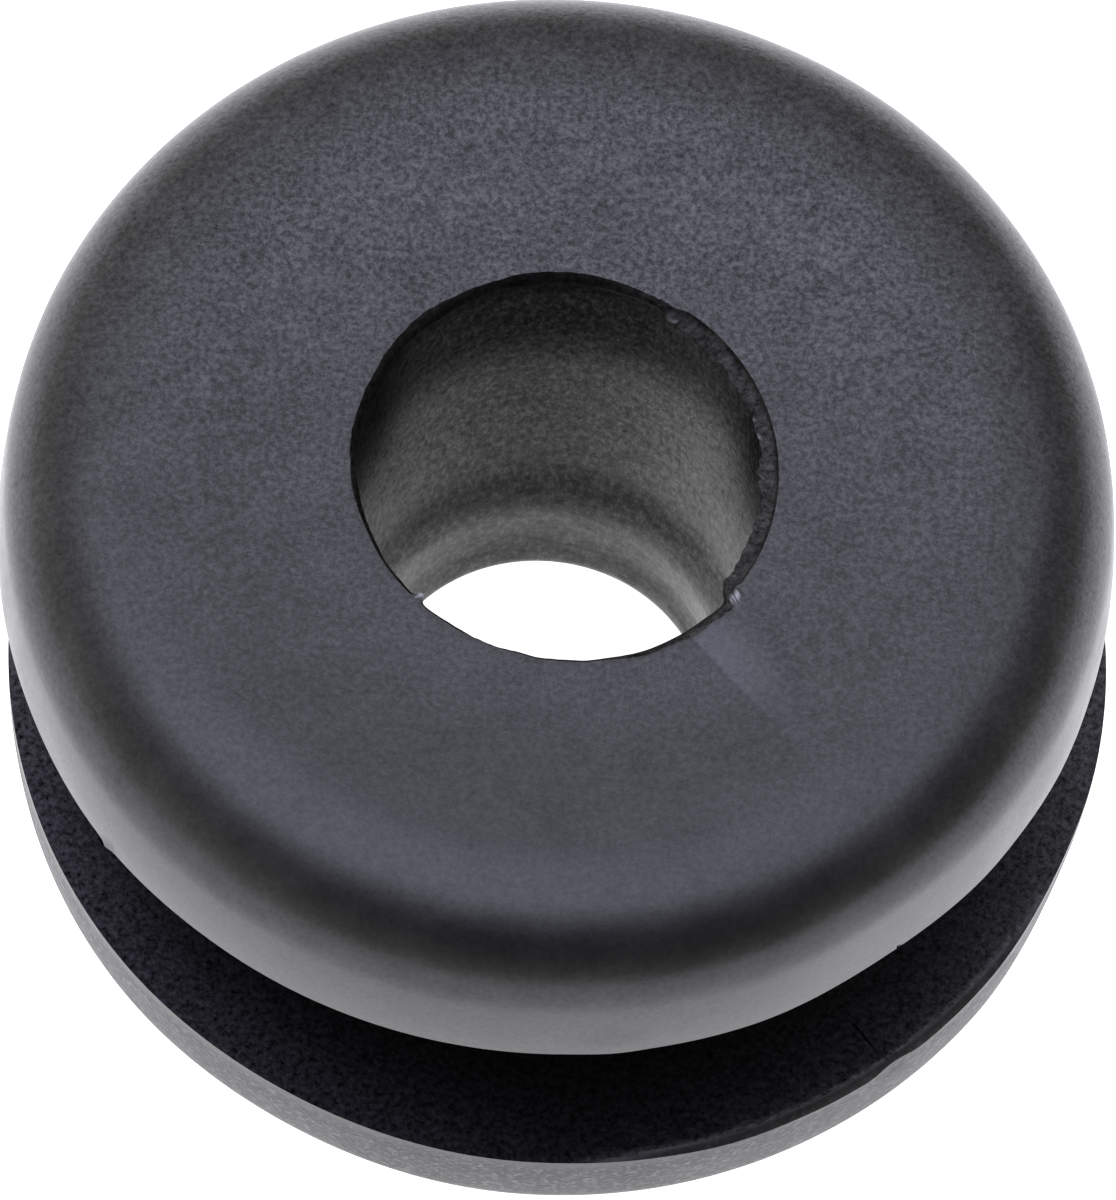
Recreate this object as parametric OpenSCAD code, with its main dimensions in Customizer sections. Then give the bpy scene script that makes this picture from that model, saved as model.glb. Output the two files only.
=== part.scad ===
// Moulded rubber grommet: two round-shouldered flanges joined by a neck, with a
// panel groove between them and a cable bore that narrows to a soft throat.
// Origin at the centre of the lower face, +Z up along the bore's axis.

/* [Flanges] */
// Outside diameter of both flanges
flange_d = 16; // [13:0.5:24]
// Thickness of each flange
flange_t = 2.5; // [2.2:0.1:4]
// Width of the rounded edge around a flange's flat outer face
crown_w = 2.1; // [1.8:0.1:2.6]
// Radius of the gentle crown where the flat outer face begins to fall away
crown_r = 7; // [4:0.5:12]
// Radius of the shoulder between the crown and the side
shoulder_r = 1.35; // [0.9:0.05:1.5]
// Radius of the shallow bulge of a flange's side, fullest at the groove
side_bulge_r = 11; // [8:0.5:30]

/* [Groove] */
// Width of the groove, which is the thickness of panel it grips
groove_w = 4; // [2:0.1:8]
// Diameter across the floor of the groove, which is the hole in the panel
groove_d = 10; // [9:0.1:11]
// Fillet in both corners of the groove
groove_fillet_r = 0.3; // [0.1:0.05:0.8]

/* [Bore] */
// Diameter of the cable bore
bore_d = 6; // [5.4:0.1:7]
// Rounding of the bore's upper rim
rim_r = 0.12; // [0.05:0.01:0.4]
// Diameter of the throat near the bore's lower end
throat_d = 5; // [4:0.1:5.2]
// Height of the throat's straight land
throat_land = 1.2; // [0.5:0.1:1.8]
// Height over which the throat opens out into the bore
throat_run = 1.5; // [1.2:0.1:3]
// Rounding of the throat's mouth in the lower face
mouth_r = 0.45; // [0.2:0.05:0.8]

/* [Hidden] */
$fn = 128;

flange_r = flange_d / 2;
bore_r = bore_d / 2;
throat_r = throat_d / 2;
neck_r = groove_d / 2;
height = 2 * flange_t + groove_w;

// Overshoot of a cutting shape past the face that it cuts through
cut = 1;

// A flange's edge is three arcs, each running smoothly into the next: crown, shoulder and
// side. The small shoulder arc touches both large arcs from inside, so its centre lies
// where two circles around their centres cross.
crown_centre = [flange_r - crown_w, flange_t - crown_r];
side_centre = [flange_r - side_bulge_r, 0];
shoulder_centre = crossing(crown_centre, crown_r - shoulder_r, side_centre, side_bulge_r - shoulder_r);
crown_end = along(crown_centre, shoulder_centre, crown_r);
side_end = along(side_centre, shoulder_centre, side_bulge_r);
// The shoulder stands out by this hair more, so that it meets both arcs in a clean edge
hair = 0.002;

// The throat opens into the bore along two equal arcs, one hollow and one full
throat_top = mouth_r + throat_land;
bore_bottom = throat_top + throat_run;
throat_turn = 2 * atan((bore_r - throat_r) / throat_run);
throat_arc_r = throat_run / 2 / sin(throat_turn);

// The point at a given distance from a, on the line that starts at a and runs through b
function along(a, b, distance) = a + (b - a) * distance / norm(b - a);

// The outer of the two points where circles around a and b cross
function crossing(a, a_r, b, b_r) =
    let(
        apart = norm(b - a),
        foot = (pow(a_r, 2) - pow(b_r, 2) + pow(apart, 2)) / (2 * apart),
        rise = sqrt(pow(a_r, 2) - pow(foot, 2)),
        ahead = (b - a) / apart
    )
    a + foot * ahead + rise * [ahead[1], -ahead[0]];

// Half section of a flange, its groove face on y = 0 and its outer face at y = flange_t
module flange_section() {
    square([crown_centre[0], flange_t]);
    intersection() {
        translate(crown_centre) circle(crown_r);
        square([crown_end[0], flange_t]);
    }
    intersection() {
        translate(shoulder_centre) circle(shoulder_r + hair);
        square([flange_r, flange_t]);
    }
    intersection() {
        translate(side_centre) circle(side_bulge_r);
        square([flange_r, side_end[1]]);
    }
}

// Half section of the neck, its lower end on y = 0, with a fillet into each flange
module neck_section() {
    square([neck_r, groove_w]);
    for (end = [0, 1])
        translate([0, end * groove_w]) mirror([0, end, 0])
            difference() {
                square([neck_r + groove_fillet_r, groove_fillet_r]);
                translate([neck_r + groove_fillet_r, groove_fillet_r]) circle(groove_fillet_r);
            }
}

// Half section of what a rounded rim removes from a face on y = 0 around a hole
module rounded_rim_section(hole_r, edge_r) {
    translate([0, -cut])
        difference() {
            square([hole_r + edge_r, edge_r + cut]);
            translate([hole_r + edge_r, edge_r + cut]) circle(edge_r);
        }
}

// Half section of the hollow where the throat opens out into the bore
module throat_opening_section() {
    // Upper half, hollow: inside an arc that starts down from the bore's wall
    translate([0, throat_run / 2])
        intersection() {
            union() {
                translate([bore_r - throat_arc_r, throat_run / 2]) circle(throat_arc_r);
                square([max(throat_r, bore_r - throat_arc_r), throat_run / 2]);
            }
            square([bore_r, throat_run / 2]);
        }
    // Lower half, full: outside an arc that ends on the throat's land
    difference() {
        square([(bore_r + throat_r) / 2, throat_run / 2]);
        translate([throat_r + throat_arc_r, 0]) circle(throat_arc_r);
    }
}

// Half section of the whole passage for the cable
module passage_section() {
    rounded_rim_section(throat_r, mouth_r);
    square([throat_r, throat_top]);
    translate([0, throat_top]) throat_opening_section();
    translate([0, bore_bottom]) square([bore_r, height - bore_bottom + cut]);
    translate([0, height]) mirror([0, 1, 0]) rounded_rim_section(bore_r, rim_r);
}

// The whole grommet, moulded in one piece
module grommet() {
    color("#2a2a2e")
        rotate_extrude()
            difference() {
                union() {
                    translate([0, flange_t]) mirror([0, 1, 0]) flange_section();
                    translate([0, flange_t]) neck_section();
                    translate([0, flange_t + groove_w]) flange_section();
                }
                passage_section();
            }
}

grommet();
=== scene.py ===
"""Looks of a moulded black rubber grommet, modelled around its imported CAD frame.

The one piece is turned as a half section with the mesh tools, spun about the bore's axis
and then given the small faults of the mould: a lower flange a little off centre, split
lines of the groove's slides, and ragged flash round the bore's rim.
"""
import math

import bmesh
import bpy
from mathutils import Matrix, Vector, noise


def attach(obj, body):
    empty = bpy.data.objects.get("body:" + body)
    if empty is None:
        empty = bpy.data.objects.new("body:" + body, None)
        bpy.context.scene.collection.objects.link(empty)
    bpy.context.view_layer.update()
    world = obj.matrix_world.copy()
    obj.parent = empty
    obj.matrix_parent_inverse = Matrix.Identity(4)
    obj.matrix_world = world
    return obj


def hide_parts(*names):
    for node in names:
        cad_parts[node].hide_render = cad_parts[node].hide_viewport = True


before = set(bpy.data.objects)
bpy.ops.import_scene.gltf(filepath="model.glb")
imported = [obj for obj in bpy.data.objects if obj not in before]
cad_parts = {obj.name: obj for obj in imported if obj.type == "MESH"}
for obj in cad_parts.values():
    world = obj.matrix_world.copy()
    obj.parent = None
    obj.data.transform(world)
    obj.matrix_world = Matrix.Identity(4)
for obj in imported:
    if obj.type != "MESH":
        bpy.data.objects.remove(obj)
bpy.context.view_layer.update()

bl_info = {
    "name": "Rubber Grommet",
    "version": (1, 0, 0),
    "blender": (4, 5, 0),
    "location": "3D View > Sidebar > Grommet",
    "description": "Models a moulded rubber grommet with its finishes and a small studio",
    "category": "Object",
}

MM = 0.001
CAD_NODE = "grommet"
PIECE = "grommet_moulding"

# Steps of the spin round the bore, which give a facet of 0.12 mm at the flanges' edge
SPIN_STEPS = 432

# The passage narrows downwards in three soft stages, a long draft, a step and a lip, as
# shares of the whole narrowing and the heights in millimetres where each ends and begins
NARROWINGS = ((0.3, 0.0, 5.4), (0.5, 1.68, 2.86), (0.2, 0.35, 1.05))
THROAT_TOP = 5.4 * MM
THROAT_STEPS = 36

# How far the finer mesh of the bore's rim reaches over the face
RIM_ZONE = 0.5 * MM

# Soft dents and swellings of the flanges' edges, in degrees and millimetres: azimuth, height,
# how far the edge moves outwards, and how far from there the rubber follows
UPPER_DENTS = ((-138.0, 6.8, 0.03, 2.4), (-137.6, 6.5, 0.04, 0.16), (-79.0, 6.6, 0.02, 0.7),
               (-49.0, 6.9, -0.07, 2.3), (-22.0, 6.9, 0.025, 1.4))
LOWER_DENTS = ((-115.0, 1.4, -0.04, 3.6), (-67.0, 2.2, 0.02, 1.2), (-47.8, 2.45, -0.04, 0.5), (-19.0, 1.6, -0.06, 2.2), (60.0, 1.8, -0.04, 2.5),
               (150.0, 2.2, 0.04, 1.6))

# Seams of the groove's four slides: azimuth, the radii in millimetres between which they
# can be felt, and a share of the full depth
SLIDE_SEAMS = ((-137.7, 7.4, 7.8, 0.25), (-47.3, 7.25, 7.86, 1.4), (42.5, 4.9, 7.8, 0.7),
               (132.4, 4.9, 7.8, 0.7))

# Where the lower flange's edge towards the groove is rounded off: the azimuths where that
# starts and ends, the radius from which it falls away and its drop, in millimetres
EDGE_ROUNDING = (-84.0, -20.0, 7.84, 0.11)

# The bore's rim by azimuth: how far its edge stands in from the bore in millimetres, the width
# of its rounding in millimetres, and the share of the flash film, 0 or 1
RIM_TURNS = (
    (-180.0, 0.08, 0.13, 0.0), (-150.0, 0.11, 0.07, 0.0), (-118.0, 0.10, 0.035, 0.0),
    (-100.0, 0.08, 0.03, 0.0), (-90.0, 0.05, 0.04, 0.0), (-76.0, 0.02, 0.05, 0.0),
    (-60.0, 0.0, 0.14, 0.0), (-45.0, 0.0, 0.20, 0.0), (-36.0, -0.02, 0.25, 0.0),
    (-33.0, 0.08, 0.15, 0.5), (-29.0, 0.16, 0.08, 1.0), (20.0, 0.17, 0.06, 1.0),
    (58.0, 0.16, 0.06, 1.0), (70.0, 0.05, 0.10, 0.0), (90.0, 0.02, 0.14, 0.0),
    (110.0, 0.02, 0.15, 0.0), (140.0, 0.03, 0.16, 0.0), (160.0, 0.06, 0.13, 0.0),
    (180.0, 0.08, 0.13, 0.0))

# Ragged ends that stand in from the rim: azimuth, reach in millimetres, width in degrees
RIM_CRUMBS = ((-130.0, 0.12, 2.2), (-31.0, 0.05, 2.5), (62.0, 0.05, 3.0), (17.5, 0.03, 2.0))

# The flash film: the radius of its outer edge past the bore's and its depth below the face
FILM_OUT = 0.04
FILM_DROP = 0.08

# Pale flecks of torn rubber: azimuth, radius, half length round the bore, half width and
# lift in millimetres, and how pale
FLECKS = ((-33.6, 3.13, 0.1, 0.05, 0.02, 0.8), (-130.0, 2.80, 0.08, 0.06, 0.0, 0.8),
          (22.6, 2.85, 0.045, 0.03, 0.01, 0.25), (17.0, 2.87, 0.05, 0.03, 0.01, 0.25),
          (61.0, 2.86, 0.04, 0.03, 0.01, 0.3), (4.0, 2.85, 0.03, 0.02, 0.01, 0.2))


# Sizes and colours a user would change

class GrommetShape(bpy.types.PropertyGroup):
    """Sizes of the moulding, in metres, as its drawing gives them"""
    flange_r: bpy.props.FloatProperty(
        name="Flange radius", description="Outside radius of both flanges",
        default=8.0 * MM, unit="LENGTH", precision=5)
    flange_t: bpy.props.FloatProperty(
        name="Flange thickness", description="Thickness of each flange",
        default=2.5 * MM, unit="LENGTH", precision=5)
    crown_w: bpy.props.FloatProperty(
        name="Crown width", description="Width of the rounded edge round the flat face",
        default=2.1 * MM, unit="LENGTH", precision=5)
    crown_r: bpy.props.FloatProperty(
        name="Crown radius", description="Radius where the flat face begins to fall away",
        default=7.0 * MM, unit="LENGTH", precision=5)
    shoulder_r: bpy.props.FloatProperty(
        name="Shoulder radius", description="Radius between the crown and the side",
        default=1.35 * MM, unit="LENGTH", precision=5)
    side_bulge_r: bpy.props.FloatProperty(
        name="Side bulge radius", description="Radius of the shallow bulge of the side",
        default=11.0 * MM, unit="LENGTH", precision=5)
    groove_w: bpy.props.FloatProperty(
        name="Groove width", description="Width of the panel groove",
        default=4.0 * MM, unit="LENGTH", precision=5)
    neck_r: bpy.props.FloatProperty(
        name="Neck radius", description="Radius of the groove's floor",
        default=5.0 * MM, unit="LENGTH", precision=5)
    groove_fillet_r: bpy.props.FloatProperty(
        name="Groove fillet", description="Fillet in the corners of the groove",
        default=0.3 * MM, unit="LENGTH", precision=5)
    bore_r: bpy.props.FloatProperty(
        name="Bore radius", description="Radius of the cable bore",
        default=3.0 * MM, unit="LENGTH", precision=5)
    rim_r: bpy.props.FloatProperty(
        name="Rim rounding", description="Rounding of the bore's upper rim",
        default=0.12 * MM, unit="LENGTH", precision=5)
    throat_r: bpy.props.FloatProperty(
        name="Throat radius", description="Radius of the throat at its narrowest",
        default=2.46 * MM, unit="LENGTH", precision=5)
    mouth_r: bpy.props.FloatProperty(
        name="Mouth rounding", description="Rounding of the throat's mouth",
        default=0.45 * MM, unit="LENGTH", precision=5)
    mismatch: bpy.props.FloatProperty(
        name="Mould mismatch", description="How far the lower flange lies off centre",
        default=0.19 * MM, unit="LENGTH", precision=5)
    sink: bpy.props.FloatProperty(
        name="Face sink", description="How far the flat face sinks towards the bore",
        default=0.085 * MM, unit="LENGTH", precision=5)
    seam_w: bpy.props.FloatProperty(
        name="Seam width", description="Width of the hairline where two slides met",
        default=0.045 * MM, unit="LENGTH", precision=6)


class RubberFinish(bpy.types.PropertyGroup):
    """Colours and grain of the rubber"""
    face_colour: bpy.props.StringProperty(
        name="Face colour", description="Spark-eroded outer faces, as sRGB hex",
        default="#060609")
    bloom_colour: bpy.props.StringProperty(
        name="Bloom colour", description="Grey bloom on the raised grain, as sRGB hex",
        default="#45454d")
    flow_colour: bpy.props.StringProperty(
        name="Flow mark colour", description="Pale wedge of the flow mark, as sRGB hex",
        default="#3d3d46")
    worn_colour: bpy.props.StringProperty(
        name="Worn colour", description="Rubbed specks of the lower flange, as sRGB hex",
        default="#606065")
    bore_colour: bpy.props.StringProperty(
        name="Bore colour", description="Wall of the bore, as sRGB hex",
        default="#080707")
    grit_colour: bpy.props.StringProperty(
        name="Grit colour", description="Pale grit near the bore's rim, as sRGB hex",
        default="#3d3c3b")
    # Painted shade: darker than the faces, for the shade in the recess between the flanges
    groove_and_shade_colour: bpy.props.StringProperty(
        name="Groove colour", description="Dull faces of the groove, as sRGB hex",
        default="#020203")
    # The groove's speckle at its palest; its share is painted paler towards the outer edge and the
    # left, as painted light
    speckle_and_light_colour: bpy.props.StringProperty(
        name="Glint colour", description="Plum-grey speckle of the groove, as sRGB hex",
        default="#4a4656")
    flash_colour: bpy.props.StringProperty(
        name="Flash colour", description="Torn flash and crumbs, as sRGB hex",
        default="#b4b4be")
    grain: bpy.props.FloatProperty(
        name="Grain", description="Spacing of the spark-eroded mould's grain",
        default=0.09 * MM, unit="LENGTH", precision=6)
    roughness: bpy.props.FloatProperty(
        name="Roughness", description="Roughness of the satin faces",
        default=0.28, min=0.0, max=1.0)


class StudioStage(bpy.types.PropertyGroup):
    """Camera, floor and light"""
    lens: bpy.props.FloatProperty(
        name="Lens", description="Focal length of the camera, in millimetres", default=480.0)
    camera_place: bpy.props.FloatVectorProperty(
        name="Camera place", description="Where the camera stands",
        default=(0.191 * MM, -95.816 * MM, 214.853 * MM), subtype="XYZ", unit="LENGTH")
    camera_turn: bpy.props.FloatVectorProperty(
        name="Camera turn", description="How the camera is turned",
        default=tuple(math.radians(a) for a in (24.38403, -2.24653, 4.98755)),
        subtype="EULER", unit="ROTATION")
    floor_r: bpy.props.FloatProperty(
        name="Floor radius", description="Radius of the light table", default=0.6,
        unit="LENGTH")
    floor_glow: bpy.props.FloatProperty(
        name="Floor glow", description="Light that the table gives off", default=1.15)


# Drawing a half section with the mesh tools

def start_section(at):
    """Starts a mesh as one vertex: a small plane merged to its centre, left in edit mode"""
    if bpy.context.object and bpy.context.object.mode != "OBJECT":
        bpy.ops.object.mode_set(mode="OBJECT")
    bpy.ops.object.select_all(action="DESELECT")
    bpy.ops.mesh.primitive_plane_add(size=0.1 * MM, location=(0, 0, 0))
    piece = bpy.context.object
    bpy.ops.object.mode_set(mode="EDIT")
    bpy.ops.mesh.select_all(action="SELECT")
    bpy.ops.mesh.merge(type="CENTER")
    bpy.ops.transform.translate(value=(at[0], 0.0, at[1]))
    return piece


def draw_line(start, end, cuts=1):
    """Extrudes the selected vertex from start to end, in as many equal moves as cuts"""
    move = ((end[0] - start[0]) / cuts, 0.0, (end[1] - start[1]) / cuts)
    for _ in range(cuts):
        bpy.ops.mesh.extrude_region_move(TRANSFORM_OT_translate={"value": move})
    return end


def draw_arc(start, centre, degrees, steps):
    """Spins the selected vertex about centre, anticlockwise as seen from the front"""
    turn = math.radians(degrees)
    bpy.ops.mesh.spin(steps=steps, angle=turn, center=(centre[0], 0.0, centre[1]),
                      axis=(0.0, 1.0, 0.0))
    x, z = start[0] - centre[0], start[1] - centre[1]
    return (centre[0] + x * math.cos(turn) - z * math.sin(turn),
            centre[1] + x * math.sin(turn) + z * math.cos(turn))


def crossing(a, a_r, b, b_r):
    """The outer of the two points where circles around a and b cross"""
    apart = math.dist(a, b)
    foot = (a_r ** 2 - b_r ** 2 + apart ** 2) / (2 * apart)
    rise = math.sqrt(a_r ** 2 - foot ** 2)
    ahead = ((b[0] - a[0]) / apart, (b[1] - a[1]) / apart)
    return (a[0] + foot * ahead[0] + rise * ahead[1], a[1] + foot * ahead[1] - rise * ahead[0])


def bearing(centre, point):
    """Direction from centre to point, in degrees above the horizontal"""
    return math.degrees(math.atan2(point[1] - centre[1], point[0] - centre[0]))


def passage_radius(shape, z):
    """Radius of the passage at a height: the bore's, less each narrowing that lies above"""
    narrowing = 0.0
    for amount, low, high in NARROWINGS:
        share = min(1.0, max(0.0, (z - low * MM) / ((high - low) * MM)))
        narrowing += amount * (1.0 - share * share * (3.0 - 2.0 * share))
    return shape.bore_r - (shape.bore_r - shape.throat_r) * narrowing


def draw_section(shape):
    """Draws the closed half section, from the bore's rim round the outside and back"""
    height = 2 * shape.flange_t + shape.groove_w
    top_face = height - shape.flange_t
    crown = (shape.flange_r - shape.crown_w, height - shape.crown_r)
    side = (shape.flange_r - shape.side_bulge_r, top_face)
    shoulder = crossing(crown, shape.crown_r - shape.shoulder_r,
                        side, shape.side_bulge_r - shape.shoulder_r)
    crown_turn = bearing(crown, shoulder)
    side_turn = bearing(side, shoulder)

    rim_top = (shape.bore_r + shape.rim_r, height)
    piece = start_section(rim_top)
    at = draw_line(rim_top, (rim_top[0] + RIM_ZONE, height), 8)
    at = draw_line(at, (crown[0], height), 14)
    at = draw_arc(at, crown, crown_turn - 90.0, 10)
    at = draw_arc(at, shoulder, side_turn - crown_turn, 18)
    at = draw_arc(at, side, -side_turn, 8)

    # The groove, with a fillet in both corners
    fillet_x = shape.neck_r + shape.groove_fillet_r
    at = draw_line(at, (fillet_x, top_face), 10)
    at = draw_arc(at, (fillet_x, top_face - shape.groove_fillet_r), 90.0, 4)
    at = draw_line(at, (shape.neck_r, shape.flange_t + shape.groove_fillet_r), 6)
    at = draw_arc(at, (fillet_x, shape.flange_t + shape.groove_fillet_r), 90.0, 4)
    at = draw_line(at, (shape.flange_r - 0.24 * MM, shape.flange_t), 12)
    at = draw_line(at, (shape.flange_r, shape.flange_t), 4)

    # The lower flange's edge is the upper one's, mirrored
    at = draw_arc(at, (side[0], shape.flange_t), -side_turn, 8)
    at = draw_arc(at, (shoulder[0], height - shoulder[1]), side_turn - crown_turn, 16)
    at = draw_arc(at, (crown[0], shape.crown_r), crown_turn - 90.0, 8)
    at = draw_line(at, (shape.throat_r + shape.mouth_r, 0.0), 8)

    # The passage: the mouth, the throat that opens out upwards, and the bore
    at = draw_arc(at, (shape.throat_r + shape.mouth_r, shape.mouth_r), -90.0, 6)
    for step in range(1, THROAT_STEPS + 1):
        z = shape.mouth_r + (THROAT_TOP - shape.mouth_r) * step / THROAT_STEPS
        at = draw_line(at, (passage_radius(shape, z), z))
    rim_bottom = (shape.bore_r, height - shape.rim_r)
    at = draw_line(at, (shape.bore_r, rim_bottom[1] - 0.4 * MM), 8)
    at = draw_line(at, rim_bottom, 8)
    draw_arc(at, (rim_top[0], rim_bottom[1]), -90.0, 8)
    return piece


def close_section():
    """Spins the drawn section once round the bore's axis and makes one closed skin of it"""
    bpy.ops.mesh.select_all(action="SELECT")
    bpy.ops.mesh.remove_doubles(threshold=0.0005 * MM)
    bpy.ops.mesh.spin(steps=SPIN_STEPS, angle=2 * math.pi, center=(0, 0, 0), axis=(0, 0, 1))
    bpy.ops.mesh.select_all(action="SELECT")
    bpy.ops.mesh.remove_doubles(threshold=0.0005 * MM)
    bpy.ops.mesh.normals_make_consistent(inside=False)
    bpy.ops.mesh.select_all(action="DESELECT")
    bpy.ops.object.mode_set(mode="OBJECT")


# Faults of the mould, moved into the skin

def bump_at(angle, centre, width):
    """1 at the centre azimuth and 0 beyond width, all in degrees, smooth between"""
    away = abs((angle - centre + 180.0) % 360.0 - 180.0) / width
    return 0.0 if away >= 1.0 else (1.0 - away * away) ** 2


def around(table, angle):
    """The values of a table of rows (azimuth, value, ...) at an angle, eased between rows"""
    for low, high in zip(table, table[1:]):
        if low[0] <= angle <= high[0]:
            share = (angle - low[0]) / (high[0] - low[0])
            share = share * share * (3.0 - 2.0 * share)
            return [a + (b - a) * share for a, b in zip(low[1:], high[1:])]
    return list(table[0][1:])


def shift_lower_flange(piece, shape):
    """Moves the outer part of the lower flange sideways, as two mould halves out of line do"""
    for v in piece.data.vertices:
        r = math.hypot(v.co.x, v.co.y)
        v.select = v.co.z < shape.flange_t + 0.01 * MM and r > shape.neck_r + 0.4 * MM
    bpy.ops.object.mode_set(mode="EDIT")
    bpy.ops.mesh.select_mode(type="VERT")
    bpy.ops.transform.translate(value=(shape.mismatch, 0.0, 0.0))
    bpy.ops.object.mode_set(mode="OBJECT")


def push_edges(piece, shape):
    """Presses and draws out small places of the flanges' edges with soft proportional moves"""
    bpy.ops.object.mode_set(mode="EDIT")
    bpy.ops.mesh.select_mode(type="VERT")
    for centre_x, dents in ((0.0, UPPER_DENTS), (shape.mismatch, LOWER_DENTS)):
        for angle, z, move, reach in dents:
            out = Vector((math.cos(math.radians(angle)), math.sin(math.radians(angle)), 0.0))
            place = Vector((centre_x, 0.0, z * MM)) + out * shape.flange_r
            bpy.ops.mesh.select_all(action="DESELECT")
            mesh = bmesh.from_edit_mesh(piece.data)
            min(mesh.verts, key=lambda v: (v.co - place).length_squared).select_set(True)
            bmesh.update_edit_mesh(piece.data)
            bpy.ops.transform.translate(
                value=out * (move * MM), use_proportional_edit=True,
                proportional_edit_falloff="SMOOTH", proportional_size=reach * MM)
    bpy.ops.mesh.select_all(action="DESELECT")
    bpy.ops.object.mode_set(mode="OBJECT")


def cut_seams(piece, shape):
    """Cuts the hairlines that the four slides of the groove leave, from flange to flange"""
    height = 2 * shape.flange_t + shape.groove_w
    bpy.ops.object.mode_set(mode="EDIT")
    bpy.ops.mesh.select_mode(type="FACE")
    for angle, inner, outer, share in SLIDE_SEAMS:
        across = Vector((-math.sin(math.radians(angle)), math.cos(math.radians(angle)), 0.0))
        out = Vector((across.y, -across.x, 0.0))
        for side in (-0.5, 0.5, 0.0):
            bpy.ops.mesh.select_all(action="DESELECT")
            mesh = bmesh.from_edit_mesh(piece.data)
            for face in mesh.faces:
                at = face.calc_center_median()
                in_groove = (shape.flange_t - 0.01 * MM < at.z
                             < height - shape.flange_t + 0.01 * MM)
                r = math.hypot(at.x, at.y)
                if (in_groove and inner * MM < r < outer * MM
                        and at.dot(out) > 0.0 and abs(at.dot(across)) < 0.2 * MM):
                    face.select_set(True)
            bmesh.update_edit_mesh(piece.data)
            bpy.ops.mesh.bisect(plane_co=across * (side * shape.seam_w),
                                plane_no=across, threshold=0.0005 * MM)
        bpy.ops.transform.shrink_fatten(value=-0.5 * shape.seam_w * share)
    bpy.ops.mesh.select_all(action="DESELECT")
    bpy.ops.object.mode_set(mode="OBJECT")


def round_edge(piece, shape):
    """Rounds off the lower flange's edge towards the groove, fading out at both ends"""
    start, end, from_r, drop = EDGE_ROUNDING
    for v in piece.data.vertices:
        x = v.co.x - shape.mismatch
        r = math.hypot(x, v.co.y)
        if abs(v.co.z - shape.flange_t) < 0.03 * MM and r > from_r * MM:
            angle = math.degrees(math.atan2(v.co.y, x))
            share = min(1.0, (r - from_r * MM) / (shape.flange_r - from_r * MM))
            v.co.z -= (drop * MM * share ** 2
                       * bump_at(angle, (start + end) / 2, (end - start) / 2) ** 0.5)


def sink_face(piece, shape):
    """Lets the flat upper face sink a little towards the bore, as rubber shrinks on a core"""
    height = 2 * shape.flange_t + shape.groove_w
    inner = shape.bore_r + 0.6 * MM
    outer = shape.flange_r - shape.crown_w + 0.4 * MM
    for v in piece.data.vertices:
        r = math.hypot(v.co.x, v.co.y)
        if v.co.z > height - 0.5 * MM and r < outer:
            share = max(0.0, (r - inner) / (outer - inner))
            rise = min(1.0, (v.co.z - height + 0.5 * MM) / (0.3 * MM))
            v.co.z -= shape.sink * 0.5 * (1.0 + math.cos(math.pi * share)) * rise


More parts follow.
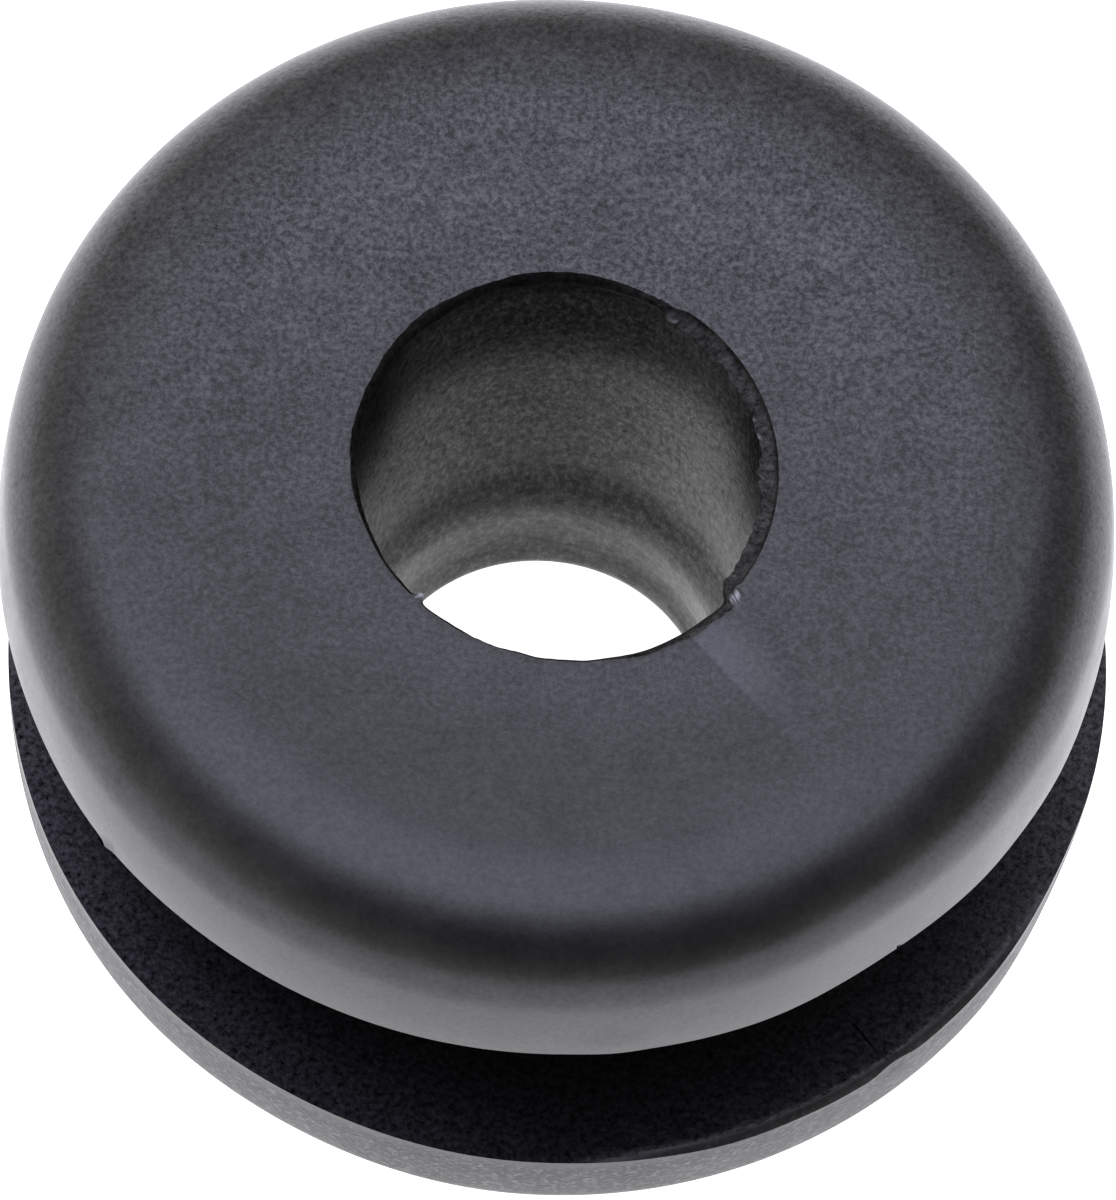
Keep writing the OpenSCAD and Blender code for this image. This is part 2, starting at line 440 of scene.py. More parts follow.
def tear_rim(piece, shape):
    """Shapes the bore's rim round its azimuths: trimmed close in front, torn back at the
    right, and on the right-hand wall a thin film of flash left just below the face"""
    height = 2 * shape.flange_t + shape.groove_w - shape.sink
    rim_foot = height - shape.rim_r
    marks = piece.data.attributes.new("flash", "FLOAT", "POINT")
    values = [0.0] * len(piece.data.vertices)
    for i, v in enumerate(piece.data.vertices):
        x, y, z = v.co
        r = math.hypot(x, y)
        if z < rim_foot - 0.4 * MM or r > shape.bore_r + shape.rim_r + RIM_ZONE:
            continue
        angle = math.degrees(math.atan2(y, x))
        out = Vector((x / r, y / r, 0.0))
        inset, width, film = around(RIM_TURNS, angle)
        coarse = noise.noise(Vector((x, y, 0.0)) / (0.5 * MM))
        fine = noise.noise(Vector((x, y, 7.0 * MM)) / (0.13 * MM))
        inset += 0.02 * coarse + 0.012 * fine + film * (0.05 * coarse + 0.05 * fine)
        width *= 1.0 + 0.35 * coarse + 0.2 * fine
        for crumb_angle, crumb_reach, crumb_width in RIM_CRUMBS:
            crumb = bump_at(angle, crumb_angle, crumb_width)
            inset += crumb_reach * crumb
        edge = shape.bore_r - inset * MM

        # Share of the way up the rim's rounding, 0 at the wall and 1 at the face
        up = min(1.0, max(0.0, (z - rim_foot) / shape.rim_r))
        lean = 1.0 - math.sqrt(1.0 - up * up) if up < 1.0 else 1.0
        round_r = edge + width * MM * lean
        round_z = height - width * MM * (1.0 - up)
        ledge_out = edge + (FILM_OUT * MM + shape.bore_r - edge) * min(1.0, lean / 0.5)
        step = max(0.0, lean - 0.5) / 0.5
        ledge_r = ledge_out + 0.04 * MM * step
        ledge_z = height - FILM_DROP * MM * (1.0 - step) - 0.03 * MM * (1.0 - min(1.0, lean / 0.5))
        top_r = (1.0 - film) * (edge + width * MM) + film * (shape.bore_r + (FILM_OUT + 0.04) * MM)
        if up > 0.98 and r >= shape.bore_r + shape.rim_r - 0.001 * MM:
            away = (r - shape.bore_r - shape.rim_r) / RIM_ZONE
            new_r = r + (top_r - shape.bore_r - shape.rim_r) * (1.0 - away)
            new_z = z
        elif up > 0.0:
            new_r = (1.0 - film) * round_r + film * ledge_r
            new_z = (1.0 - film) * round_z + film * ledge_z
        else:
            down = (rim_foot - z) / (0.4 * MM)
            start_z = ((1.0 - film) * (height - width * MM)
                       + film * (height - FILM_DROP * MM - 0.03 * MM))
            new_r = shape.bore_r - (shape.bore_r - edge) * max(0.0, 1.0 - down * 2.2) ** 1.5
            new_z = start_z + (rim_foot - 0.4 * MM - start_z) * down
        v.co = out * new_r + Vector((0.0, 0.0, new_z))

        for fleck_angle, fleck_r, long, wide, lift, pale in FLECKS:
            along = (angle - fleck_angle) * math.pi / 180.0 * fleck_r * MM
            aside = new_r - fleck_r * MM
            near = 1.0 - (along / (long * MM)) ** 2 - (aside / (wide * MM)) ** 2
            if near > 0.0 and up > 0.0:
                values[i] = max(values[i], pale * min(1.0, 2.0 * near))
                v.co.z += lift * MM * near
        if film > 0.5 and 0.0 < up < 1.0 and lean < 0.5:
            speck = noise.noise(Vector((x, y, 3.0 * MM)) / (0.16 * MM))
            values[i] = max(values[i], min(0.05, max(0.0, speck - 0.3) * 0.4))
    marks.data.foreach_set("value", values)


def shade(piece):
    """Smooth shading, with the groove's edges and the rim's left crisp"""
    bpy.ops.object.select_all(action="DESELECT")
    piece.select_set(True)
    bpy.context.view_layer.objects.active = piece
    bpy.ops.object.shade_smooth_by_angle(angle=math.radians(42.0))


# Materials

def linear(hex_colour):
    """An sRGB hex colour as linear RGBA"""
    channels = [int(hex_colour[i:i + 2], 16) / 255.0 for i in (1, 3, 5)]
    return tuple(c / 12.92 if c <= 0.04045 else ((c + 0.055) / 1.055) ** 2.4
                 for c in channels) + (1.0,)


def new_material(name):
    """An empty node material"""
    material = bpy.data.materials.new(name)
    material.use_nodes = True
    material.node_tree.nodes.clear()
    return material


def add_node(material, kind, settings=None, links=None):
    """Adds a node, with its own settings, socket values and links into its sockets"""
    node = material.node_tree.nodes.new(kind)
    for name, value in (settings or {}).items():
        if isinstance(name, str) and hasattr(node, name):
            setattr(node, name, value)
        else:
            node.inputs[name].default_value = value
    for name, source in (links or {}).items():
        material.node_tree.links.new(source, node.inputs[name])
    return node


def flow_mark(material, place):
    """A share from 0 to 1 for a flow mark: a faint pale wedge with one crisp side, where two
    fronts of rubber met in the mould, running out from the rim at the right in front"""
    turned = add_node(material, "ShaderNodeMapping", {
        "vector_type": "TEXTURE", "Location": (2.04 * MM, -2.43 * MM, 0.0),
        "Rotation": (0.0, 0.0, math.radians(-44.0))}, {"Vector": place})
    parts = add_node(material, "ShaderNodeSeparateXYZ", {}, {0: turned.outputs["Vector"]})
    share = None
    for axis, start, end, low, high in (("Y", -0.02, 0.05, 0.0, 1.0), ("Y", 0.1, 1.0, 1.0, 0.0),
                                        ("X", -0.2, 0.1, 0.0, 1.0), ("X", 0.3, 2.4, 1.0, 0.0),
                                        ("Z", 7.0, 8.0, 0.0, 1.0)):
        ramp = add_node(material, "ShaderNodeMapRange", {
            "interpolation_type": "SMOOTHSTEP", "From Min": start * MM, "From Max": end * MM,
            "To Min": low, "To Max": high}, {"Value": parts.outputs[axis]})
        share = ramp.outputs["Result"] if share is None else add_node(
            material, "ShaderNodeMath", {"operation": "MULTIPLY"},
            {0: share, 1: ramp.outputs["Result"]}).outputs[0]
    return share


def spark_eroded_rubber(shape, finish):
    """EPDM rubber from a spark-eroded mould: a fine, even satin grain that breaks the light
    into a mottle, a faint blue-grey bloom in clouds, painted stronger towards the back as
    painted light on the far side of the face, a flow mark on the face, and a duller
    lower flange whose high spots are rubbed pale"""
    m = new_material("epdm_rubber_spark_eroded")
    place = add_node(m, "ShaderNodeTexCoord").outputs["Object"]
    parts = add_node(m, "ShaderNodeSeparateXYZ", {}, {0: place})
    height = parts.outputs["Z"]
    grain = add_node(m, "ShaderNodeTexNoise", {
        "Scale": 1.0 / finish.grain, "Detail": 4.0, "Roughness": 0.8}, {"Vector": place})
    # Painted light: a share that rises towards the back (+Y) and makes the bloom paler on the far
    # side of the face; it also sets the grain's bump and specular swing
    crisp = add_node(m, "ShaderNodeMapRange", {
        "From Min": -6.0 * MM, "From Max": 3.5 * MM, "To Min": 0.3, "To Max": 1.0},
        {"Value": parts.outputs["Y"]}).outputs["Result"]
    level = add_node(m, "ShaderNodeMapping", {"Scale": (1.0, 1.0, 0.0)}, {"Vector": place})
    radius = add_node(m, "ShaderNodeVectorMath", {"operation": "LENGTH"},
                      {0: level.outputs["Vector"]})
    flat = add_node(m, "ShaderNodeMapRange", {
        "interpolation_type": "SMOOTHSTEP", "From Min": 5.4 * MM, "From Max": 6.8 * MM,
        "To Min": 1.0, "To Max": 0.2}, {"Value": radius.outputs["Value"]})
    clouds = add_node(m, "ShaderNodeTexNoise", {
        "Scale": 1.0 / (0.9 * MM), "Detail": 4.0, "Roughness": 0.7}, {"Vector": place})

    # Bloom: in clouds, only on the high spots of the grain, and made stronger towards the back,
    # which is painted light: the far side of the face painted lighter
    cloudy = add_node(m, "ShaderNodeMapRange", {
        "From Min": 0.32, "From Max": 0.7, "To Min": 0.3, "To Max": 1.0},
        {"Value": clouds.outputs["Fac"]})
    high = add_node(m, "ShaderNodeMapRange", {
        "From Min": 0.44, "From Max": 0.64, "To Min": 0.1, "To Max": 1.0},
        {"Value": grain.outputs["Fac"]})
    mottle = add_node(m, "ShaderNodeMath", {"operation": "MULTIPLY"},
                      {0: cloudy.outputs["Result"], 1: high.outputs["Result"]})
    for share in (crisp, crisp, flat.outputs["Result"]):
        mottle = add_node(m, "ShaderNodeMath", {"operation": "MULTIPLY"},
                          {0: mottle.outputs[0], 1: share})
    bloomed = add_node(m, "ShaderNodeMix", {
        "data_type": "RGBA", 6: linear(finish.face_colour), 7: linear(finish.bloom_colour)},
        {0: mottle.outputs[0]})
    marked = add_node(m, "ShaderNodeMix", {"data_type": "RGBA", 7: linear(finish.flow_colour)},
                      {0: flow_mark(m, place), 6: bloomed.outputs[2]})

    # The lower flange: duller, with the tops of a coarser grain rubbed pale
    low = add_node(m, "ShaderNodeMapRange", {
        "From Min": shape.flange_t - 0.02 * MM, "From Max": shape.flange_t - 0.3 * MM,
        "To Min": 0.0, "To Max": 1.0}, {"Value": height})
    grit = add_node(m, "ShaderNodeTexNoise", {
        "Scale": 1.0 / (0.09 * MM), "Detail": 2.0, "Roughness": 0.6}, {"Vector": place})
    tops = add_node(m, "ShaderNodeMapRange", {
        "From Min": 0.5, "From Max": 0.75, "To Min": 0.0, "To Max": 1.0},
        {"Value": grit.outputs["Fac"]})
    rubbed = add_node(m, "ShaderNodeMath", {"operation": "MULTIPLY"},
                      {0: low.outputs["Result"], 1: tops.outputs["Result"]})
    worn = add_node(m, "ShaderNodeMix", {"data_type": "RGBA", 7: linear(finish.worn_colour)},
                    {0: rubbed.outputs[0], 6: marked.outputs[2]})
    flash = add_node(m, "ShaderNodeAttribute", {"attribute_name": "flash"})
    torn = add_node(m, "ShaderNodeMix", {"data_type": "RGBA", 7: linear(finish.flash_colour)},
                    {0: flash.outputs["Fac"], 6: worn.outputs[2]})

    satin = add_node(m, "ShaderNodeMapRange", {
        "From Min": 0.3, "From Max": 0.7, "To Min": finish.roughness - 0.04,
        "To Max": finish.roughness + 0.05}, {"Value": clouds.outputs["Fac"]})
    rough = add_node(m, "ShaderNodeMath", {"operation": "MULTIPLY_ADD", 1: 0.14},
                     {0: low.outputs["Result"], 2: satin.outputs["Result"]})
    relief = add_node(m, "ShaderNodeBump", {"Distance": 0.008 * MM},
                      {"Height": grain.outputs["Fac"], "Strength": crisp})
    # Specular level: each pit and peak of the grain mirrors a little less or more
    swing = add_node(m, "ShaderNodeMath", {"operation": "MULTIPLY", 1: 1.55}, {0: crisp})
    pitted = add_node(m, "ShaderNodeMath", {"operation": "SUBTRACT", 1: 0.5},
                      {0: grain.outputs["Fac"]})
    cloud_swing = add_node(m, "ShaderNodeMath", {
        "operation": "MULTIPLY_ADD", 1: 0.35, 2: 0.325}, {0: clouds.outputs["Fac"]})
    level_here = add_node(m, "ShaderNodeMath", {"operation": "MULTIPLY_ADD"},
                          {0: pitted.outputs[0], 1: swing.outputs[0],
                           2: cloud_swing.outputs[0]})
    gritty = add_node(m, "ShaderNodeBump", {"Distance": 0.013 * MM},
                      {"Strength": low.outputs["Result"], "Height": grit.outputs["Fac"],
                       "Normal": relief.outputs["Normal"]})
    shader = add_node(m, "ShaderNodeBsdfPrincipled", {"IOR": 1.52}, {
        "Base Color": torn.outputs[2], "Roughness": rough.outputs[0],
        "Specular IOR Level": level_here.outputs[0], "Normal": gritty.outputs["Normal"]})
    add_node(m, "ShaderNodeOutputMaterial", {}, {"Surface": shader.outputs["BSDF"]})
    return m


def core_pin_rubber(shape, finish):
    """EPDM rubber drawn off a core pin: smoother low in the throat and at the sides, where it
    mirrors the table, with faint turning lines round it, dull and gritty near the rim, and
    darkened at both sides from halfway up by painted shade, with the grit kept off the far left"""
    m = new_material("epdm_rubber_core_pin")
    place = add_node(m, "ShaderNodeTexCoord").outputs["Object"]
    parts = add_node(m, "ShaderNodeSeparateXYZ", {}, {0: place})
    flattened = add_node(m, "ShaderNodeMapping", {"Scale": (0.4, 0.4, 1.2)}, {"Vector": place})
    lines = add_node(m, "ShaderNodeTexNoise", {
        "Scale": 1.0 / (0.16 * MM), "Detail": 4.0, "Roughness": 0.7},
        {"Vector": flattened.outputs["Vector"]})
    drawn = add_node(m, "ShaderNodeMapping", {"Scale": (1.0, 1.0, 0.55)}, {"Vector": place})
    grit = add_node(m, "ShaderNodeTexNoise", {
        "Scale": 1.0 / (0.09 * MM), "Detail": 4.0, "Roughness": 0.8},
        {"Vector": drawn.outputs["Vector"]})
    # Painted shade: 0 at the far left of the bore, where the wall lies in shade, rising to 1
    # towards the middle
    left = add_node(m, "ShaderNodeMapRange", {
        "interpolation_type": "SMOOTHSTEP", "From Min": -2.9 * MM, "From Max": -1.6 * MM,
        "To Min": 0.0, "To Max": 1.0}, {"Value": parts.outputs["X"]})
    dull = add_node(m, "ShaderNodeMapRange", {
        "interpolation_type": "SMOOTHSTEP", "From Min": 5.7 * MM, "From Max": 7.8 * MM,
        "To Min": 0.0, "To Max": 1.0}, {"Value": parts.outputs["Z"]})

    # Pale grit over the wall, wiped off at the rim itself, and kept off the far left as painted
    # shade, so that side of the wall stays dark
    tops = add_node(m, "ShaderNodeMapRange", {
        "From Min": 0.5, "From Max": 0.66, "To Min": 0.0, "To Max": 1.0},
        {"Value": grit.outputs["Fac"]})
    dense = add_node(m, "ShaderNodeMapRange", {
        "From Min": 8.2 * MM, "From Max": 8.7 * MM, "To Min": 1.0, "To Max": 0.0},
        {"Value": parts.outputs["Z"]})
    sprinkle = add_node(m, "ShaderNodeMath", {"operation": "MULTIPLY"},
                        {0: tops.outputs["Result"], 1: dense.outputs["Result"]})
    sprinkle = add_node(m, "ShaderNodeMath", {"operation": "MULTIPLY"},
                        {0: sprinkle.outputs[0], 1: left.outputs["Result"]})
    gritty = add_node(m, "ShaderNodeMix", {
        "data_type": "RGBA", 6: linear(finish.bore_colour), 7: linear(finish.grit_colour)},
        {0: sprinkle.outputs[0]})
    flash = add_node(m, "ShaderNodeAttribute", {"attribute_name": "flash"})
    torn = add_node(m, "ShaderNodeMix", {"data_type": "RGBA", 7: linear(finish.flash_colour)},
                    {0: flash.outputs["Fac"], 6: gritty.outputs[2]})

    # Roughness: a smooth throat, a rougher bore above it, dull at the rim, smoother at the
    # left and right, and uneven with the lines and the grit
    rough = add_node(m, "ShaderNodeMapRange", {
        "interpolation_type": "SMOOTHSTEP", "From Min": 1.6 * MM, "From Max": 3.0 * MM,
        "To Min": 0.44, "To Max": 0.58}, {"Value": parts.outputs["Z"]}).outputs["Result"]
    sideways = add_node(m, "ShaderNodeMath", {"operation": "ABSOLUTE"}, {0: parts.outputs["X"]})
    right = add_node(m, "ShaderNodeMapRange", {
        "interpolation_type": "SMOOTHSTEP", "From Min": -0.5 * MM, "From Max": 2.6 * MM,
        "To Min": 0.0, "To Max": 1.0}, {"Value": parts.outputs["X"]})
    pressed = add_node(m, "ShaderNodeMapRange", {
        "interpolation_type": "SMOOTHSTEP", "From Min": 0.8 * MM, "From Max": 2.8 * MM,
        "To Min": 0.0, "To Max": 1.0}, {"Value": sideways.outputs[0]})
    for source, weight in ((dull.outputs["Result"], 0.3), (pressed.outputs["Result"], -0.08),
                           (right.outputs["Result"], -0.2), (lines.outputs["Fac"], 0.25),
                           (grit.outputs["Fac"], -0.25)):
        rough = add_node(m, "ShaderNodeMath", {"operation": "MULTIPLY_ADD", 1: weight},
                         {0: source, 2: rough}).outputs[0]
    streaks = add_node(m, "ShaderNodeBump", {"Strength": 0.4, "Distance": 0.012 * MM},
                       {"Height": lines.outputs["Fac"]})
    coarse = add_node(m, "ShaderNodeMapRange", {
        "From Min": 1.5 * MM, "From Max": 4.5 * MM, "To Min": 0.3, "To Max": 1.0},
        {"Value": parts.outputs["Z"]})
    relief = add_node(m, "ShaderNodeBump", {"Distance": 0.014 * MM}, {
        "Strength": coarse.outputs["Result"], "Height": grit.outputs["Fac"],
        "Normal": streaks.outputs["Normal"]})
    # Specular level: speckled by the grit, uneven with the turning lines, deadened at the rim, and
    # lowered at both sides as painted shade
    speckle = add_node(m, "ShaderNodeMapRange", {
        "From Min": 0.3, "From Max": 0.7, "To Min": 0.02, "To Max": 1.0},
        {"Value": grit.outputs["Fac"]})
    even = add_node(m, "ShaderNodeMix", {"data_type": "FLOAT", 2: 0.5}, {
        0: coarse.outputs["Result"], 3: speckle.outputs["Result"]})
    live = add_node(m, "ShaderNodeMapRange", {
        "interpolation_type": "SMOOTHSTEP", "From Min": 8.1 * MM, "From Max": 8.75 * MM,
        "To Min": 1.0, "To Max": 0.3}, {"Value": parts.outputs["Z"]})
    # Painted shade: at both sides the wall's specular level is lowered from halfway up to just
    # below the rim, where those walls lie in shade
    painted_side_shade = add_node(m, "ShaderNodeMapRange", {
        "interpolation_type": "SMOOTHSTEP", "From Min": 3.2 * MM, "From Max": 6.0 * MM,
        "To Min": 0.0, "To Max": 0.93}, {"Value": parts.outputs["Z"]}).outputs["Result"]
    below = add_node(m, "ShaderNodeMapRange", {
        "interpolation_type": "SMOOTHSTEP", "From Min": 8.62 * MM, "From Max": 8.76 * MM,
        "To Min": 1.0, "To Max": 0.0}, {"Value": parts.outputs["Z"]})
    flank = add_node(m, "ShaderNodeMapRange", {
        "interpolation_type": "SMOOTHSTEP", "From Min": 2.0 * MM, "From Max": 2.72 * MM,
        "To Min": 0.0, "To Max": 1.0}, {"Value": sideways.outputs[0]})
    for share in (below, flank):
        painted_side_shade = add_node(m, "ShaderNodeMath", {"operation": "MULTIPLY"},
                          {0: painted_side_shade, 1: share.outputs["Result"]}).outputs[0]
    side_shade_factor = add_node(m, "ShaderNodeMath", {"operation": "SUBTRACT", 0: 1.0}, {1: painted_side_shade})
    turned = add_node(m, "ShaderNodeMapRange", {
        "From Min": 0.3, "From Max": 0.7, "To Min": 0.4, "To Max": 1.6},
        {"Value": lines.outputs["Fac"]})
    rim = add_node(m, "ShaderNodeMix", {"data_type": "FLOAT", 3: 0.85}, {
        0: right.outputs["Result"], 2: live.outputs["Result"]})
    level = even.outputs[0]
    for share in (rim.outputs[0], side_shade_factor.outputs[0], turned.outputs["Result"]):
        level = add_node(m, "ShaderNodeMath", {"operation": "MULTIPLY"},
                         {0: level, 1: share}).outputs[0]
    shader = add_node(m, "ShaderNodeBsdfPrincipled", {"IOR": 1.52}, {
        "Base Color": torn.outputs[2], "Roughness": rough, "Specular IOR Level": level,
        "Normal": relief.outputs["Normal"]})
    add_node(m, "ShaderNodeOutputMaterial", {}, {"Surface": shader.outputs["BSDF"]})
    return m


def slide_rubber(finish):
    """EPDM rubber from the blasted slides that form the groove: dull and painted nearly black,
    darker than the faces as painted shade in the recess between the flanges, with a fine
    plum-grey speckle painted paler towards the outer edge and the left as painted light"""
    m = new_material("epdm_rubber_slide_painted_light_and_shade")
    place = add_node(m, "ShaderNodeTexCoord").outputs["Object"]
    parts = add_node(m, "ShaderNodeSeparateXYZ", {}, {0: place})
    level = add_node(m, "ShaderNodeMapping", {"Scale": (1.0, 1.0, 0.0)}, {"Vector": place})
    radius = add_node(m, "ShaderNodeVectorMath", {"operation": "LENGTH"},
                      {0: level.outputs["Vector"]})
    grit = add_node(m, "ShaderNodeTexNoise", {
        "Scale": 1.0 / (0.09 * MM), "Detail": 4.0, "Roughness": 0.8}, {"Vector": place})
    share = add_node(m, "ShaderNodeMapRange", {
        "From Min": 0.36, "From Max": 0.74, "To Min": 0.0, "To Max": 1.0},
        {"Value": grit.outputs["Fac"]}).outputs["Result"]
    # Painted light and shade: the speckle pales towards the flange's outer edge and fades under
    # the upper flange's overhang
    outer = add_node(m, "ShaderNodeMapRange", {
        "interpolation_type": "SMOOTHSTEP", "From Min": 6.2 * MM, "From Max": 7.9 * MM,
        "To Min": 0.1, "To Max": 1.0}, {"Value": radius.outputs["Value"]})
    # Painted light: the speckle pales towards the left, where the lamp stands
    painted_light_left = add_node(m, "ShaderNodeMapRange", {
        "From Min": -6.0 * MM, "From Max": 1.0 * MM, "To Min": 1.0, "To Max": 0.15},
        {"Value": parts.outputs["X"]})
    for mask in (outer, painted_light_left):
        share = add_node(m, "ShaderNodeMath", {"operation": "MULTIPLY"},
                         {0: share, 1: mask.outputs["Result"]}).outputs[0]
    # Painted shade and light: the groove's darkened colour with the speckle mixed in
    colour = add_node(m, "ShaderNodeMix", {
        "data_type": "RGBA", 6: linear(finish.groove_and_shade_colour), 7: linear(finish.speckle_and_light_colour)},
        {0: share})
    speckle = add_node(m, "ShaderNodeMapRange", {
        "From Min": 0.3, "From Max": 0.7, "To Min": 0.0, "To Max": 0.8},
        {"Value": grit.outputs["Fac"]})
    relief = add_node(m, "ShaderNodeBump", {"Strength": 0.8, "Distance": 0.01 * MM},
                      {"Height": grit.outputs["Fac"]})
    shader = add_node(m, "ShaderNodeBsdfPrincipled", {"IOR": 1.52, "Roughness": 0.36}, {
        "Base Color": colour.outputs[2], "Specular IOR Level": speckle.outputs["Result"],
        "Normal": relief.outputs["Normal"]})
    add_node(m, "ShaderNodeOutputMaterial", {}, {"Surface": shader.outputs["BSDF"]})
    return m


def finish_faces(piece, shape, finish):
    """Gives the outer faces, the bore's wall and the groove their own finishes"""
    for material in (spark_eroded_rubber(shape, finish), core_pin_rubber(shape, finish),
                     slide_rubber(finish)):
        piece.data.materials.append(material)
    height = 2 * shape.flange_t + shape.groove_w
    for face in piece.data.polygons:
        x, y, z = face.center
        r = math.hypot(x, y)
        wall = r < shape.bore_r + 0.05 * MM and 0.05 * MM < z < height - 0.2 * MM
        rounding = (r < shape.bore_r + RIM_ZONE and z > height - 0.5 * MM
                    and (face.normal.z < 0.97 or z < height - shape.sink - 0.02 * MM))
        if wall or rounding:
            face.material_index = 1
        elif (shape.flange_t - 0.01 * MM < z < height - shape.flange_t + 0.01 * MM
              and r < shape.flange_r + 0.3 * MM):
            face.material_index = 2


# Operators

class GROMMET_OT_mould_body(bpy.types.Operator):
    """Model the grommet's moulding in place of its CAD solid"""
    bl_idname = "grommet.mould_body"
    bl_label = "Mould the body"

    def execute(self, context):
        shape = context.scene.grommet_shape
        piece = draw_section(shape)
        piece.name = PIECE
        piece.data.name = PIECE
        close_section()
        shift_lower_flange(piece, shape)
        push_edges(piece, shape)
        cut_seams(piece, shape)
        round_edge(piece, shape)
        sink_face(piece, shape)
        tear_rim(piece, shape)
        finish_faces(piece, shape, context.scene.grommet_finish)
        shade(piece)
        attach(piece, "root")
        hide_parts(CAD_NODE)
        return {"FINISHED"}


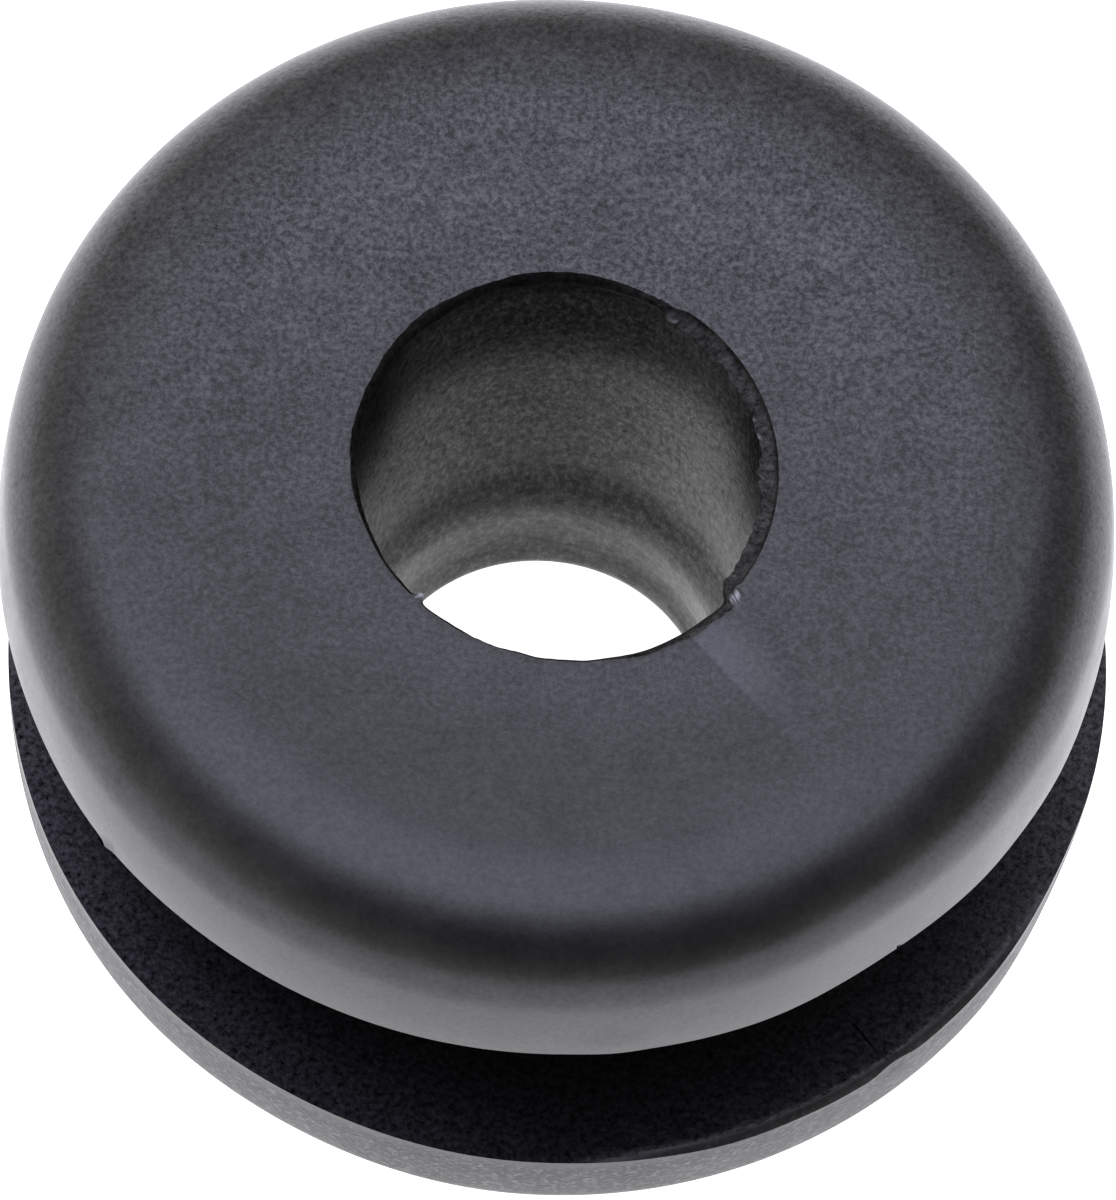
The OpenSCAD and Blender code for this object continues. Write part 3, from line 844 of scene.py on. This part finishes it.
class GROMMET_OT_set_stage(bpy.types.Operator):
    """Set up the light table, the soft light and the camera"""
    bl_idname = "grommet.set_stage"
    bl_label = "Set the stage"

    def execute(self, context):
        stage = context.scene.grommet_stage
        self.lay_floor(stage)
        self.light(context)
        self.place_camera(context, stage)
        return {"FINISHED"}

    def lay_floor(self, stage):
        bpy.ops.object.select_all(action="DESELECT")
        bpy.ops.mesh.primitive_circle_add(vertices=96, radius=stage.floor_r,
                                          fill_type="TRIFAN", location=(0, 0, 0))
        floor = bpy.context.object
        floor.name = "light_table"
        floor.location.z = -0.01 * MM
        m = new_material("opal_acrylic_light_table")
        shader = add_node(m, "ShaderNodeBsdfPrincipled", {
            "Base Color": linear("#e8e8e8"), "Roughness": 0.6,
            "Emission Color": linear("#ffffff"), "Emission Strength": stage.floor_glow})
        add_node(m, "ShaderNodeOutputMaterial", {}, {"Surface": shader.outputs["BSDF"]})
        floor.data.materials.append(m)

    def light(self, context):
        """A light tent: one dome of light whose front and back walls differ in brightness"""
        world = bpy.data.worlds.new("light_tent")
        context.scene.world = world
        world.use_nodes = True
        world.node_tree.nodes.clear()
        place = add_node(world, "ShaderNodeTexCoord")
        parts = add_node(world, "ShaderNodeSeparateXYZ", {}, {0: place.outputs["Generated"]})
        front = self.wall(world, parts.outputs["Z"], FRONT_WALL)
        back = self.wall(world, parts.outputs["Z"], BACK_WALL)
        rise = add_node(world, "ShaderNodeMath", {"operation": "ARCSINE"},
                        {0: parts.outputs["Z"]})
        level = add_node(world, "ShaderNodeMath", {"operation": "COSINE"},
                         {0: rise.outputs[0]})
        away = add_node(world, "ShaderNodeMath", {"operation": "DIVIDE"},
                        {0: parts.outputs["Y"], 1: level.outputs[0]})
        share = add_node(world, "ShaderNodeMapRange", {
            "From Min": -1.0, "From Max": 1.0}, {"Value": away.outputs[0]})
        both = add_node(world, "ShaderNodeMix", {"data_type": "RGBA"}, {
            0: share.outputs["Result"], 6: front, 7: back})
        left = add_node(world, "ShaderNodeMapRange", {
            "From Min": -1.0, "From Max": 0.0, "To Min": TENT_STRENGTH * LEFT_SIDE,
            "To Max": TENT_STRENGTH}, {"Value": parts.outputs["X"]})
        right = add_node(world, "ShaderNodeMapRange", {
            "From Min": 0.0, "From Max": 1.0, "To Min": 1.0, "To Max": RIGHT_SIDE},
            {"Value": parts.outputs["X"]})
        strength = add_node(world, "ShaderNodeMath", {"operation": "MULTIPLY"},
                            {0: left.outputs["Result"], 1: right.outputs["Result"]})
        dome = add_node(world, "ShaderNodeBackground", {},
                        {"Color": both.outputs[2], "Strength": strength.outputs[0]})
        add_node(world, "ShaderNodeOutputWorld", {}, {"Surface": dome.outputs[0]})

    def wall(self, world, height, levels):
        """A ramp of grey levels up one wall of the tent, by the sine of the elevation"""
        node = add_node(world, "ShaderNodeValToRGB", {}, {"Fac": height})
        ramp = node.color_ramp
        ramp.elements.remove(ramp.elements[1])
        for i, (elevation, level) in enumerate(levels):
            where = math.sin(math.radians(elevation))
            stop = ramp.elements[0] if i == 0 else ramp.elements.new(where)
            stop.position = where
            tint = min(1.0, max(0.0, (elevation - 40.0) / 20.0))
            stop.color = [level * (1.0 + tint * cast) for cast in SOFTBOX_CAST] + [1.0]
        return node.outputs["Color"]

    def place_camera(self, context, stage):
        data = bpy.data.cameras.new("photo_camera")
        data.lens = stage.lens
        data.sensor_width = 36.0
        data.clip_start = 0.01
        data.clip_end = 5.0
        camera = bpy.data.objects.new("photo_camera", data)
        context.scene.collection.objects.link(camera)
        camera.location = stage.camera_place
        camera.rotation_euler = stage.camera_turn
        context.scene.camera = camera
        context.scene.view_settings.view_transform = "Standard"


# Grey levels up the tent's walls, as (elevation in degrees, level), and their strength. The
# softbox fills the back wall from 45 degrees up and ends 15 degrees before the zenith in front
FRONT_WALL = ((0, 0.24), (24, 0.13), (38, 0.085), (56, 0.10), (68, 0.18), (74, 0.26), (80, 0.38),
              (86, 0.54), (90, 0.70))
BACK_WALL = ((0, 0.25), (24, 0.27), (42, 0.31), (50, 0.35), (56, 0.41), (61, 0.53), (66, 0.73),
             (71, 0.93), (76, 0.95), (82, 0.84), (90, 0.66))
TENT_STRENGTH = 3.0
# Shares of that strength at the far left, where the lamp stands, and at the far right
LEFT_SIDE = 1.65
RIGHT_SIDE = 0.72
# The softbox is a little cooler than the table, by this share in red, green and blue
SOFTBOX_CAST = (-0.05, -0.03, 0.16)


class GROMMET_PT_panel(bpy.types.Panel):
    """Lists the sizes, finishes and steps of the grommet"""
    bl_idname = "GROMMET_PT_panel"
    bl_label = "Grommet"
    bl_space_type = "VIEW_3D"
    bl_region_type = "UI"
    bl_category = "Grommet"

    def draw(self, context):
        for group, step in (("grommet_shape", "grommet.mould_body"),
                            ("grommet_finish", None), ("grommet_stage", "grommet.set_stage")):
            box = self.layout.box()
            values = getattr(context.scene, group)
            for name in values.__annotations__:
                box.prop(values, name)
            if step:
                box.operator(step)


CLASSES = (GrommetShape, RubberFinish, StudioStage,
           GROMMET_OT_mould_body, GROMMET_OT_set_stage, GROMMET_PT_panel)
GROUPS = (("grommet_shape", GrommetShape), ("grommet_finish", RubberFinish),
          ("grommet_stage", StudioStage))


def register():
    for cls in CLASSES:
        bpy.utils.register_class(cls)
    for name, group in GROUPS:
        setattr(bpy.types.Scene, name, bpy.props.PointerProperty(type=group))


def unregister():
    for name, _ in GROUPS:
        delattr(bpy.types.Scene, name)
    for cls in reversed(CLASSES):
        bpy.utils.unregister_class(cls)


def main():
    register()
    bpy.ops.grommet.mould_body()
    bpy.ops.grommet.set_stage()


if __name__ == "__main__":
    main()
